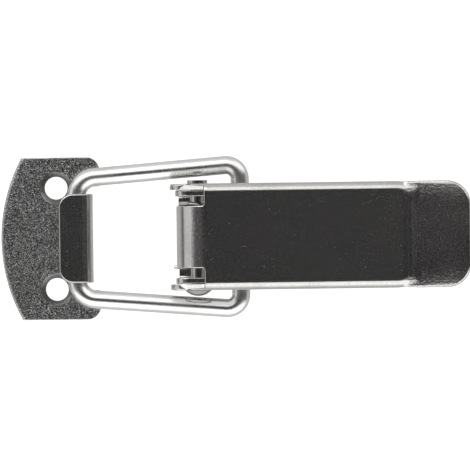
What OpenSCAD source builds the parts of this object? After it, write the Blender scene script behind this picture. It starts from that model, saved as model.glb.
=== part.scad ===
// Toggle bolt latch: a sheet-metal lever draws a wire bail, and the bail pulls the hooked catch plate.
// X runs along the latch, catch plate at -X and lever tab at +X. The mounting plane is z = 0.

/* [Sheet and wire] */
// Thickness of the lever's and the base plate's sheet
sheet_t = 0.9; // [0.8:0.05:0.95]
// Thickness of the catch plate's sheet
catch_t = 1.0; // [0.9:0.05:1.1]
// Diameter of the bail's wire
wire_d = 2.8; // [2.5:0.05:2.85]

/* [Latch] */
// Length of the closed latch over everything
latch_l = 72; // [71.5:0.25:74]
// Height of the rivet's axis above the mounting plane
pivot_z = 4.8; // [4.75:0.05:5]
// Distance from the rivet's axis to the end of the lever's tab
lever_reach = 41.7; // [41.5:0.1:43]
// Distance from the rivet's axis back to the bail's pivot
bail_back = 6.54; // [6.4:0.02:6.8]
// Distance from the rivet's axis down to the bail's pivot
bail_drop = 1.1; // [0.9:0.05:1.2]

/* [Lever] */
// Width over the lever's side walls
lever_w = 16.3; // [16:0.1:16.4]
// Height of the lever's top face above the mounting plane
lever_top = 9.6; // [9.55:0.05:10]
// Outer radius of the bends along the lever's sides
lever_bend_r = 1.3; // [1:0.1:1.6]
// Width of the curled tongue between the two notches
tongue_w = 9.56; // [9:0.1:9.7]
// Length of the upturned finger tab
tab_l = 9.4; // [8:0.2:11]
// Angle of the upturned finger tab
tab_angle = 9; // [5:1:14]
// Corner radius of the finger tab
tab_corner_r = 3.6; // [2.5:0.1:4]

/* [Base plate] */
// Distance from the rivet's axis to the base plate's tail
base_reach = 26.5; // [25:0.5:28]
// Width of the base plate's tail
base_tail_w = 12.8; // [11:0.2:13]
// Distance between the base plate's two screw holes
base_pitch = 10; // [9:0.5:11]

/* [Catch plate] */
// Width of the catch plate
catch_w = 25; // [24:0.25:26]
// Length of the catch plate
catch_l = 15.2; // [15:0.1:15.6]
// Radius of the catch plate's curved edge
catch_edge_r = 25.9; // [22:0.5:30]
// Radius of the catch plate's two corners beside the hook
catch_corner_r = 2; // [1:0.1:2.4]
// Width of the hook
hook_w = 13.6; // [13:0.1:14]
// Length of the hook's lip, over its bend
hook_reach = 5.14; // [4.8:0.1:5.2]
// Distance between the catch plate's two screw holes
catch_pitch = 15.6; // [15.6:0.1:16.4]

/* [Screw holes] */
// Diameter of the screw holes
screw_d = 3.5; // [3.2:0.1:3.6]
// Diameter of their countersinks at the face
sink_d = 4.8; // [4.2:0.1:4.9]

/* [Rivet and spring] */
// Diameter of the rivet's shank
shank_d = 2.2; // [2:0.05:2.3]
// Diameter of the spring's wire
spring_d = 0.6; // [0.5:0.05:0.6]
// Number of whole turns in the spring
spring_turns = 7; // [5:1:8]

/* [Hidden] */
$fn = 64;
eps = 0.01;

// Places along the latch
catch_x = -latch_l / 2;
lever_end = latch_l / 2;
pivot_x = lever_end - lever_reach;
bail_x = pivot_x + bail_back;
bail_z = pivot_z - bail_drop;

// Clearances
rivet_gap = 0.05;
wall_gap = 0.1;
wire_gap = 0.08;

// Lever
lever_in = lever_w / 2 - sheet_t;
lever_inner_r = max(lever_bend_r - sheet_t, 0.2);
notch_x = pivot_x + 1;
wall_front = 4.2;
wall_under = 4.1;
wall_over = 3.8;
wall_top_r = 2.5;
wall_foot_r = 3.5;
tongue_cx = pivot_x + 1.5;
tongue_r = 4.76;
tongue_drop = 1.1;
tab_x = lever_end - tab_l;
tab_bend_r = 3;
taper_x = pivot_x + 16;
tail_depth = 2.6;
tail_r = 1.2;

// Base plate
ear_out = lever_in - wall_gap;
ear_in = ear_out - sheet_t;
ear_front = 3.38;
ear_back = 3.4;
ear_over = 3.3;
ear_r = 1.9;
ear_bend_r = 1.2;
floor_front = 2.94;
base_corner_r = 2.4;
base_hole_x = pivot_x + 12.2;

// Catch plate and hook
hook_x = catch_x + 14.17;
hook_bend_r = 1.85;
hook_gap = 3;
hook_tip_r = 2.1;
hook_top = catch_t + hook_gap + catch_t;
relief_w = 1.2;
relief_l = 3.6;
catch_hole_x = catch_x + 8.52;

// Bail
wire_r = wire_d / 2;
bail_end_x = hook_x - catch_t - 0.1 - wire_r;
bail_end_z = catch_t + hook_gap / 2;
bail_l = norm([bail_x - bail_end_x, bail_z - bail_end_z]);
bail_tilt = atan2(bail_z - bail_end_z, bail_x - bail_end_x);
bail_half = 11.15;
bail_flare = 4.44;
bail_end_r = 3.1;
bail_pivot_r = 2.1;
bail_leg_gap = 1;
wire_step = 0.003;
wire_lap = 0.04;

// Rivet
head_r = 2.05;
head_h = 0.85;
tail_flare_r = 1.55;
tail_h = 0.5;
tail_hole_r = 0.65;
tail_hole_l = 2.2;

// Spring, wound about the rivet
spring_r = 1.5;
spring_y0 = 5.2;
spring_y1 = -4.63;
spring_ring = 8;
spring_steps = 20;
foot_x = -2.6;
foot_z = sheet_t + spring_d / 2 + 0.05 - pivot_z;
nose_x = -3.72;

// Extrudes an XZ outline across the latch, centred on its middle
module across(w) {
    translate([0, w / 2, 0]) rotate([90, 0, 0]) linear_extrude(w) children();
}

// A bar of radius r through the middle, across the latch
module bar(x, z, r, l) {
    translate([x, 0, z]) rotate([90, 0, 0]) cylinder(h = l, r = r, center = true);
}

// Section of a bent channel, open below, from z = 0 up to h
module arch(w, h, r) {
    translate([-w / 2, 0]) square([w, h - r]);
    translate([-w / 2 + r, 0]) square([w - 2 * r, h]);
    for (s = [-1, 1]) translate([s * (w / 2 - r), h - r]) circle(r);
}

// Runs a YZ section along X from x0 to x1
module along(x0, x1) {
    translate([x0, 0, 0]) rotate([90, 0, 90]) linear_extrude(x1 - x0) children();
}

// A countersunk screw hole through sheet of thickness t, opening upwards
module screw_hole(t) {
    sink = (sink_d - screw_d) / 2;
    translate([0, 0, -1]) cylinder(h = t + 2, d = screw_d);
    translate([0, 0, t - sink]) cylinder(h = sink + eps, d1 = screw_d, d2 = sink_d + 2 * eps);
}

// ---- Base plate ----

// Side view of an ear: rounded over the rivet, with its foot in the floor
module ear_outline() {
    difference() {
        union() {
            translate([pivot_x - ear_front, pivot_z - 1.2]) square([ear_front + ear_back, ear_over + 1.2]);
            translate([pivot_x - floor_front, 0]) square([floor_front + ear_back, pivot_z]);
        }
        for (s = [-1, 1]) {
            cx = s < 0 ? pivot_x - ear_front + ear_r : pivot_x + ear_back - ear_r;
            translate([cx, pivot_z + ear_over - ear_r]) difference() {
                translate([s < 0 ? -ear_r - 1 : 0, 0]) square([ear_r + 1, ear_r + 1]);
                circle(ear_r);
            }
        }
    }
}

module base_plate() {
    color("gray") difference() {
        union() {
            intersection() {
                along(pivot_x - ear_front, pivot_x + ear_back) difference() {
                    translate([0, pivot_z + 6]) mirror([0, 1]) arch(2 * ear_out, pivot_z + 6, ear_bend_r);
                    translate([0, pivot_z + 7])
                        mirror([0, 1]) arch(2 * ear_in, pivot_z + 7 - sheet_t, ear_bend_r - sheet_t);
                }
                across(lever_w) ear_outline();
            }
            difference() {
                translate([pivot_x - floor_front + 1, -base_tail_w / 2, 0])
                    cube([base_reach + floor_front - 1, base_tail_w, sheet_t]);
                for (s = [-1, 1]) {
                    translate([pivot_x + base_reach, s * base_tail_w / 2, -eps]) difference() {
                        translate([-base_corner_r, -base_corner_r, 0])
                            cube([2 * base_corner_r, 2 * base_corner_r, sheet_t + 2 * eps]);
                        translate([-base_corner_r, -s * base_corner_r, -1])
                            cylinder(h = sheet_t + 3, r = base_corner_r);
                        translate([-3 * base_corner_r, -s * base_corner_r - 3 * base_corner_r, -1])
                            cube([2 * base_corner_r, 6 * base_corner_r, sheet_t + 3]);
                    }
                }
            }
        }
        bar(pivot_x, pivot_z, shank_d / 2 + 0.03, lever_w);
        for (i = [0, 1]) translate([base_hole_x + i * base_pitch, 0, 0]) screw_hole(sheet_t);
    }
}

// ---- Rivet ----

// Half section of the domed rivet, head at the bottom, turned about its own axis
module rivet_section() {
    dome_r = (head_r * head_r + head_h * head_h) / (2 * head_h);
    seat = lever_w / 2 + rivet_gap;
    difference() {
        union() {
            translate([0, -seat - eps]) square([shank_d / 2, 2 * seat + 2 * eps]);
            intersection() {
                translate([0, -seat - head_h + dome_r]) circle(dome_r);
                translate([0, -seat - head_h]) square([head_r, head_h]);
            }
            translate([0, seat]) square([tail_flare_r - tail_h / 2, tail_h]);
            translate([tail_flare_r - tail_h / 2, seat + tail_h / 2]) circle(tail_h / 2);
        }
        translate([0, seat + tail_h - tail_hole_l]) square([tail_hole_r, tail_hole_l + 1]);
    }
}

module pivot_rivet() {
    color("lightgray") translate([pivot_x, 0, pivot_z])
        rotate([-90, 0, 0]) rotate_extrude() rivet_section();
}

// ---- Torsion spring ----

// The bearing, seen along Y, at which a leg that ends at [x, z] touches the coil
function touch(x, z) = atan2(z, x) - acos(spring_r / norm([x, z]));

// Wire centre line: foot on the base plate's floor, clockwise turns, nose under the tongue
spring_a0 = touch(foot_x, foot_z);
spring_turn = 360 * spring_turns + (spring_a0 - -90 + 360) % 360;
spring_n = ceil(spring_turn / 360 * spring_steps);
spring_path = concat(
    [[foot_x, spring_y0, foot_z]],
    [for (i = [0:spring_n])
        let (a = spring_a0 - spring_turn * i / spring_n)
            [spring_r * cos(a), spring_y0 + (spring_y1 - spring_y0) * i / spring_n, spring_r * sin(a)]],
    [[nose_x, spring_y1, -spring_r]]);

function unit(v) = v / norm(v);
function heading(p, i) = unit(p[min(i + 1, len(p) - 1)] - p[max(i - 1, 0)]);

// One ring of points about each point of a path
function rings(p, r, n) = [for (i = [0:len(p) - 1])
    let (t = heading(p, i), u = unit(cross(t, [0, 1, 0.001])), v = cross(t, u))
        for (k = [0:n - 1]) p[i] + r * (cos(360 * k / n) * u + sin(360 * k / n) * v)];

// A closed round wire that follows a path
module wire(p, r, n) {
    m = len(p);
    polyhedron(
        points = rings(p, r, n),
        faces = concat(
            [[for (k = [0:n - 1]) k]],
            [for (i = [0:m - 2]) for (k = [0:n - 1])
                [i * n + k, (i + 1) * n + k, (i + 1) * n + (k + 1) % n, i * n + (k + 1) % n]],
            [[for (k = [n - 1:-1:0]) (m - 1) * n + k]]));
}

module torsion_spring() {
    color("dimgray") translate([pivot_x, 0, pivot_z]) wire(spring_path, spring_d / 2, spring_ring);
}

// ---- Lever ----

// Side view of a side wall's front, rounded above and below the rivet
module wall_front_outline() {
    rise = wall_over + wall_under - wall_top_r - wall_foot_r;
    translate([pivot_x - wall_front + wall_foot_r, pivot_z - wall_under])
        square([wall_front - wall_foot_r + 1.2, wall_over + wall_under]);
    translate([pivot_x - wall_front + wall_foot_r, pivot_z - wall_under + wall_foot_r]) circle(wall_foot_r);
    translate([pivot_x - wall_front + wall_top_r, pivot_z + wall_over - wall_top_r]) circle(wall_top_r);
    translate([pivot_x - wall_front, pivot_z - wall_under + wall_foot_r]) square([wall_foot_r + 1, rise]);
    translate([pivot_x - wall_front + wall_top_r, pivot_z]) square([2, wall_over]);
}

// Side view of the lever behind its notches
module wall_outline() {
    foot = pivot_z - wall_under;
    polygon([[notch_x, foot], [taper_x, foot], [tab_x - tail_r, lever_top - tail_depth],
        [tab_x, lever_top - tail_depth + tail_r], [tab_x, lever_top], [notch_x, lever_top]]);
}

// Side view of the tongue: a quarter curl in front of the notches and a short drop
module tongue_outline() {
    cz = lever_top - tongue_r;
    intersection() {
        translate([tongue_cx, cz]) difference() {
            circle(tongue_r);
            circle(tongue_r - sheet_t);
        }
        translate([tongue_cx - tongue_r, cz]) square([tongue_r, tongue_r]);
    }
    translate([tongue_cx - tongue_r, cz - tongue_drop]) square([sheet_t, tongue_drop + eps]);
    translate([tongue_cx - eps, lever_top - sheet_t]) square([1, sheet_t]);
}

// Side view of the tab: a hollow bend, then a straight rise
module tab_outline() {
    intersection() {
        translate([tab_x, lever_top + tab_bend_r]) difference() {
            circle(tab_bend_r + sheet_t);
            circle(tab_bend_r);
        }
        translate([tab_x, lever_top + tab_bend_r]) rotate(-90)
            polygon([[0, 0], [9, 0], [9 * cos(tab_angle), 9 * sin(tab_angle)]]);
    }
    translate([tab_x + tab_bend_r * sin(tab_angle), lever_top + tab_bend_r * (1 - cos(tab_angle))])
        rotate(tab_angle) translate([0, -sheet_t]) square([tab_l + 1, sheet_t]);
    translate([tab_x - 0.5, lever_top - sheet_t]) square([0.5 + eps, sheet_t]);
}

// Plan of the tab: full width with two round corners
module tab_plan() {
    w = lever_w / 2;
    translate([tab_x - 1, -w]) square([tab_l + 1 - tab_corner_r, 2 * w]);
    translate([tab_x, -w + tab_corner_r]) square([tab_l, 2 * (w - tab_corner_r)]);
    for (s = [-1, 1]) translate([lever_end - tab_corner_r, s * (w - tab_corner_r)]) circle(tab_corner_r);
}

module lever() {
    color("silver") difference() {
        union() {
            intersection() {
                along(notch_x, tab_x) difference() {
                    arch(lever_w, lever_top, lever_bend_r);
                    translate([0, -1]) arch(2 * lever_in, lever_top + 1 - sheet_t, lever_inner_r);
                }
                across(lever_w + 2) wall_outline();
            }
            for (s = [-1, 1]) translate([0, s * (lever_w - sheet_t) / 2, 0])
                across(sheet_t) wall_front_outline();
            across(tongue_w) tongue_outline();
            intersection() {
                across(lever_w + 2) tab_outline();
                linear_extrude(lever_top + 9) tab_plan();
            }
        }
        bar(pivot_x, pivot_z, shank_d / 2 + rivet_gap, lever_w + 2);
        bar(bail_x, bail_z, wire_r + wire_gap, lever_w + 2);
    }
}

// ---- Bail ----

// A bend of the wire in the bail's plane, from bearing a0 through sweep a
module wire_bend(x, y, r, a0, a) {
    translate([x, y, 0]) rotate([0, 0, a0])
        rotate_extrude(angle = a) translate([r, 0]) circle(wire_r - wire_step);
}

// A straight length of the wire in the bail's plane, lapping over the bends at its ends
module wire_run(p, q) {
    d = q - p;
    translate([p.x, p.y, 0]) rotate([0, 0, atan2(d.y, d.x)]) translate([-wire_lap, 0, 0])
        rotate([0, 90, 0]) cylinder(h = norm(d) + 2 * wire_lap, r = wire_r);
}

// The bail, flat: its pivot's axis is at x = 0 and its hook end at x = -bail_l
module bail_flat() {
    r1 = bail_pivot_r;
    r2 = bail_end_r;
    f = bail_flare;
    // Centres of the bends on the +Y side, each touching the flared side from inside
    c1 = [-r1, bail_half - r1 * (1 + sin(f)) / cos(f)];
    c2 = [-bail_l + r2, bail_half - (bail_l - r2) * tan(f) - r2 / cos(f)];
    n = [-sin(f), cos(f)];
    for (m = [0, 1]) mirror([0, m, 0]) {
        wire_run([0, bail_leg_gap / 2], [0, c1.y]);
        wire_bend(c1.x, c1.y, r1, 0, 90 + f);
        wire_run(c1 + r1 * n, c2 + r2 * n);
        wire_bend(c2.x, c2.y, r2, 90 + f, 90 - f);
    }
    wire_run([-bail_l, c2.y], [-bail_l, -c2.y]);
}

module bail() {
    color("whitesmoke") translate([bail_x, 0, bail_z]) rotate([0, -bail_tilt, 0]) bail_flat();
}

// ---- Catch plate ----

// Plan of the flat plate: one curved edge, two round corners, and a relief on each side of the hook
module catch_plan() {
    x1 = catch_x + catch_l;
    r = catch_corner_r;
    difference() {
        intersection() {
            translate([catch_x + catch_edge_r, 0]) circle(catch_edge_r, $fn = 128);
            union() {
                translate([catch_x, -catch_w / 2]) square([catch_l - r, catch_w]);
                translate([catch_x, -catch_w / 2 + r]) square([catch_l, catch_w - 2 * r]);
                for (s = [-1, 1]) translate([x1 - r, s * (catch_w / 2 - r)]) circle(r);
            }
        }
        translate([hook_x - hook_bend_r, -hook_w / 2 - relief_w]) square([9, hook_w + 2 * relief_w]);
        for (s = [-1, 1]) {
            y = s * (hook_w + relief_w) / 2;
            translate([x1 - relief_l, y - relief_w / 2]) square([relief_l + 1, relief_w]);
            translate([x1 - relief_l, y]) circle(relief_w / 2);
        }
    }
}

// Side view of the hook: up from the plate, over the wire and back
module hook_outline() {
    x0 = hook_x - hook_bend_r;
    in_r = hook_bend_r - catch_t;
    difference() {
        union() {
            translate([x0 - eps, 0]) square([eps + 0.001, catch_t]);
            translate([x0, hook_bend_r]) circle(hook_bend_r);
            translate([x0, hook_top - hook_bend_r]) circle(hook_bend_r);
            translate([x0, hook_bend_r]) square([hook_bend_r, hook_top - 2 * hook_bend_r]);
            translate([hook_x - hook_reach, hook_top - catch_t]) square([hook_reach - hook_bend_r, catch_t]);
        }
        translate([x0, catch_t + in_r]) circle(in_r);
        translate([x0, hook_top - catch_t - in_r]) circle(in_r);
        translate([x0 - eps, catch_t + in_r]) square([in_r + eps, hook_top - 2 * (catch_t + in_r)]);
        translate([x0 - 9, catch_t]) square([9, hook_gap]);
        translate([x0 - 9, -1]) square([9 - eps, catch_t + 1]);
    }
}

// Plan that rounds the corners of the hook's lip
module hook_plan() {
    x0 = hook_x - hook_reach;
    w = hook_w / 2;
    translate([x0 + hook_tip_r, -w]) square([hook_reach, 2 * w]);
    translate([x0, -w + hook_tip_r]) square([hook_reach, 2 * (w - hook_tip_r)]);
    for (s = [-1, 1]) translate([x0 + hook_tip_r, s * (w - hook_tip_r)]) circle(hook_tip_r);
}

module catch_plate() {
    color("darkgray") difference() {
        union() {
            linear_extrude(catch_t) catch_plan();
            intersection() {
                across(hook_w) hook_outline();
                linear_extrude(hook_top + 1) hook_plan();
            }
        }
        for (s = [-1, 1]) translate([catch_hole_x, s * catch_pitch / 2, 0]) screw_hole(catch_t);
    }
}

base_plate();
pivot_rivet();
torsion_spring();
lever();
bail();
catch_plate();
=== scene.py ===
"""A closed toggle latch: sheet-metal lever, wire bail, hooked catch plate, base plate, rivet and spring."""

import logging
import math
from dataclasses import dataclass, field
from enum import Enum
from typing import Callable, NamedTuple, Sequence

import bmesh
import bpy
from mathutils import Matrix, Vector


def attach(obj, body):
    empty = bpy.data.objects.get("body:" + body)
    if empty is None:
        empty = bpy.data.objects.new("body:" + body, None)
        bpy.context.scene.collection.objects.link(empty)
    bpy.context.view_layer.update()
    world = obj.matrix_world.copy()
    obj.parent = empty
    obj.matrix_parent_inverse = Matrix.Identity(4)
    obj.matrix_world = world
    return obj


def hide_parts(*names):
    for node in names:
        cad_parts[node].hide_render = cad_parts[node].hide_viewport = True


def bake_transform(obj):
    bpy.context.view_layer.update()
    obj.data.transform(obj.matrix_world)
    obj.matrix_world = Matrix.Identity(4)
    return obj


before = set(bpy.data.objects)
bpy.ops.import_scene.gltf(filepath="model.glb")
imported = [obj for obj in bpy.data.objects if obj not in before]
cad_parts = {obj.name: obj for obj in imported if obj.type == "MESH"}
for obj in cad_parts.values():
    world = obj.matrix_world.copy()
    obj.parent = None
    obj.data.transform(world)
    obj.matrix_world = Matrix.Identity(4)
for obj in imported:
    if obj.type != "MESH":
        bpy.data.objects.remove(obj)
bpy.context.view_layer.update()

LOG = logging.getLogger("toggle_latch")
MM = 0.001
QUARTER = math.pi / 2
SIDES = (1, -1)

# Lengths that count as nothing, in millimetres
SHORTEST = 0.001
TOUCHING = 1e-4
LEVEL = 1e-5


class Corner(NamedTuple):
    """A corner of a flat outline, in millimetres, with the radius that rounds it."""

    x: float
    y: float
    r: float = 0.0


class Hole(NamedTuple):
    """A round hole in a flat blank, in millimetres."""

    x: float
    y: float
    d: float


class Noise(NamedTuple):
    """Cloudy noise: the size of its features in millimetres, its octaves and their strength."""

    size_mm: float
    detail: float = 2.0
    rough: float = 0.5


class Span(NamedTuple):
    """A range of values, and what its two ends become."""

    low: float
    high: float
    to_low: float = 0.0
    to_high: float = 1.0


class Face(Enum):
    """The two faces of a flat blank."""

    LOWER = 0
    UPPER = 1


class Way(Enum):
    """Which way a fold turns the sheet beyond its line."""

    UP = 1
    DOWN = -1


class Along(Enum):
    """The axis that a fold runs away along, as an index into a position."""

    X = 0
    Y = 1


@dataclass(frozen=True)
class LatchSizes:
    """Sizes that the sub-assemblies share, in millimetres, as the frame has them."""

    sheet: float = 0.9
    catch: float = 1.0
    wire: float = 2.8
    end: float = 36.0
    pivot_x: float = -5.7
    pivot_z: float = 4.8
    bail_x: float = 0.84
    bail_z: float = 3.7
    lever_half: float = 8.15
    lever_top: float = 9.6
    screw: float = 3.5
    shank: float = 2.2


SIZES = LatchSizes()


# ---- Finishes ----


def set_span(node: bpy.types.Node, span: Span) -> None:
    """Sets the four ends of a map-range node.

    Args:
        node: The node.
        span: The range, and what its ends become.
    """
    node.interpolation_type = "SMOOTHSTEP"
    for key, number in zip(("From Min", "From Max", "To Min", "To Max"), span):
        node.inputs[key].default_value = number


class Shader:
    """A material under construction: a node tree and short ways to add to it."""

    # Sockets of a mix node that mixes colours
    MIX_SHARE = 0
    MIX_A = 6
    MIX_B = 7
    MIX_RESULT = 2

    def __init__(self, name: str) -> None:
        """Makes an empty material with a surface shader.

        Args:
            name: The material's name.
        """
        self.material = bpy.data.materials.new(name)
        self.material.use_nodes = True
        self.nodes = self.material.node_tree.nodes
        self.links = self.material.node_tree.links
        self.surface = self.nodes["Principled BSDF"]
        self.coordinates = self.nodes.new("ShaderNodeTexCoord").outputs["Object"]

    def node(self, kind: str, **settings: object) -> bpy.types.Node:
        """Adds a node.

        Args:
            kind: The node's type without its ShaderNode prefix.
            **settings: Attributes to set on it.

        Returns:
            The node.
        """
        made = self.nodes.new("ShaderNode" + kind)
        for key, value in settings.items():
            setattr(made, key, value)
        return made

    def link(self, source: bpy.types.NodeSocket, target: bpy.types.NodeSocket) -> None:
        """Joins an output to an input.

        Args:
            source: The output.
            target: The input.
        """
        self.links.new(source, target)

    def placed(self, scale: Sequence[float] = (1, 1, 1), turn: float = 0.0) -> bpy.types.NodeSocket:
        """Stretches and turns the pattern's coordinates.

        Args:
            scale: Stretch along X, Y and Z.
            turn: Turn about Z, in radians.

        Returns:
            The coordinates' socket.
        """
        mapping = self.node("Mapping")
        mapping.inputs["Scale"].default_value = scale
        mapping.inputs["Rotation"].default_value = (0, 0, turn)
        self.link(self.coordinates, mapping.inputs["Vector"])
        return mapping.outputs["Vector"]

    def noise(self, kind: Noise, at: bpy.types.NodeSocket | None = None) -> bpy.types.NodeSocket:
        """Adds cloudy noise.

        Args:
            kind: The noise's size, octaves and strength.
            at: Coordinates, or the object's own.

        Returns:
            The noise's socket, about 0.5 on average.
        """
        made = self.node("TexNoise", noise_dimensions="3D")
        made.inputs["Scale"].default_value = 1.0 / (kind.size_mm * MM)
        made.inputs["Detail"].default_value = kind.detail
        made.inputs["Roughness"].default_value = kind.rough
        self.link(at or self.coordinates, made.inputs["Vector"])
        return made.outputs["Fac"]

    def remap(self, value: bpy.types.NodeSocket, span: Span) -> bpy.types.NodeSocket:
        """Stretches a value from one range to another, clamped.

        Args:
            value: The value's socket.
            span: The range, and what its ends become.

        Returns:
            The new value's socket.
        """
        made = self.node("MapRange")
        set_span(made, span)
        self.link(value, made.inputs["Value"])
        return made.outputs["Result"]

    def math(
        self, operation: str, a: bpy.types.NodeSocket, b: bpy.types.NodeSocket | float
    ) -> bpy.types.NodeSocket:
        """Adds arithmetic on one or two values.

        Args:
            operation: The operation's name.
            a: The first value.
            b: The second value, a socket or a number.

        Returns:
            The result's socket.
        """
        made = self.node("Math", operation=operation)
        self.link(a, made.inputs[0])
        if isinstance(b, (int, float)):
            made.inputs[1].default_value = b
        else:
            self.link(b, made.inputs[1])
        return made.outputs[0]

    def tint(
        self, share: bpy.types.NodeSocket, a: Sequence[float], b: Sequence[float]
    ) -> bpy.types.NodeSocket:
        """Mixes two colours.

        Args:
            share: Share of the second colour.
            a: The first colour.
            b: The second colour.

        Returns:
            The colour's socket.
        """
        made = self.node("Mix", data_type="RGBA")
        made.inputs[self.MIX_A].default_value = (*a, 1)
        made.inputs[self.MIX_B].default_value = (*b, 1)
        self.link(share, made.inputs[self.MIX_SHARE])
        return made.outputs[self.MIX_RESULT]

    def bump(
        self,
        height: bpy.types.NodeSocket,
        depth_mm: float,
        onto: bpy.types.NodeSocket | None = None,
    ) -> bpy.types.NodeSocket:
        """Adds relief.

        Args:
            height: The height's socket.
            depth_mm: Depth of a full step in height, in millimetres.
            onto: A normal to build on.

        Returns:
            The normal's socket.
        """
        made = self.node("Bump")
        made.inputs["Strength"].default_value = 1.0
        made.inputs["Distance"].default_value = depth_mm * MM
        self.link(height, made.inputs["Height"])
        if onto is not None:
            self.link(onto, made.inputs["Normal"])
        return made.outputs["Normal"]


@dataclass(frozen=True)
class Wear:
    """What every plated finish shares: soil, hair scratches, dots, haze and bright rims."""

    cloud: Noise = Noise(7.0, 4.0, 0.6)
    cloud_soil: Span = Span(0.42, 0.68, 0.0, 0.55)
    cloud_haze: Span = Span(0.35, 0.6, 1.0, 0.55)
    cloud_rough: tuple[float, float] = (0.3, 0.7)
    spots: Noise = Noise(0.9, 5.0, 0.75)
    spots_kept: Span = Span(0.62, 0.74)
    spots_share: float = 0.35
    streaks: Noise = Noise(0.16, 2.0, 0.6)
    streaks_kept: Span = Span(0.63, 0.72)
    streaks_stretch: tuple[float, float, float] = (0.035, 1.0, 1.0)
    streaks_turn: float = 0.1
    streaks_rough: float = 0.04
    grain_haze: Span = Span(0.3, 0.72)
    # Grain heights mapped to the multiplier of the painted shade in the grain's hollows
    grain_shade: Span = Span(0.35, 0.62, 0.35, 1.0)
    grain_octaves: tuple[float, float] = (3.0, 0.65)
    peel_octaves: float = 1.5
    dots: Noise = Noise(0.3, 1.0)
    dots_kept: Span = Span(0.72, 0.8)
    wave: Noise = Noise(9.0, 1.0)
    rim_mm: float = 0.25
    rim_samples: int = 4
    rim_kept: Span = Span(0.995, 0.93)
    rim_patches: Noise = Noise(1.1, 4.0, 0.7)
    rim_patches_kept: Span = Span(0.3, 0.6, 0.3, 1.0)


WEAR = Wear()


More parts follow.
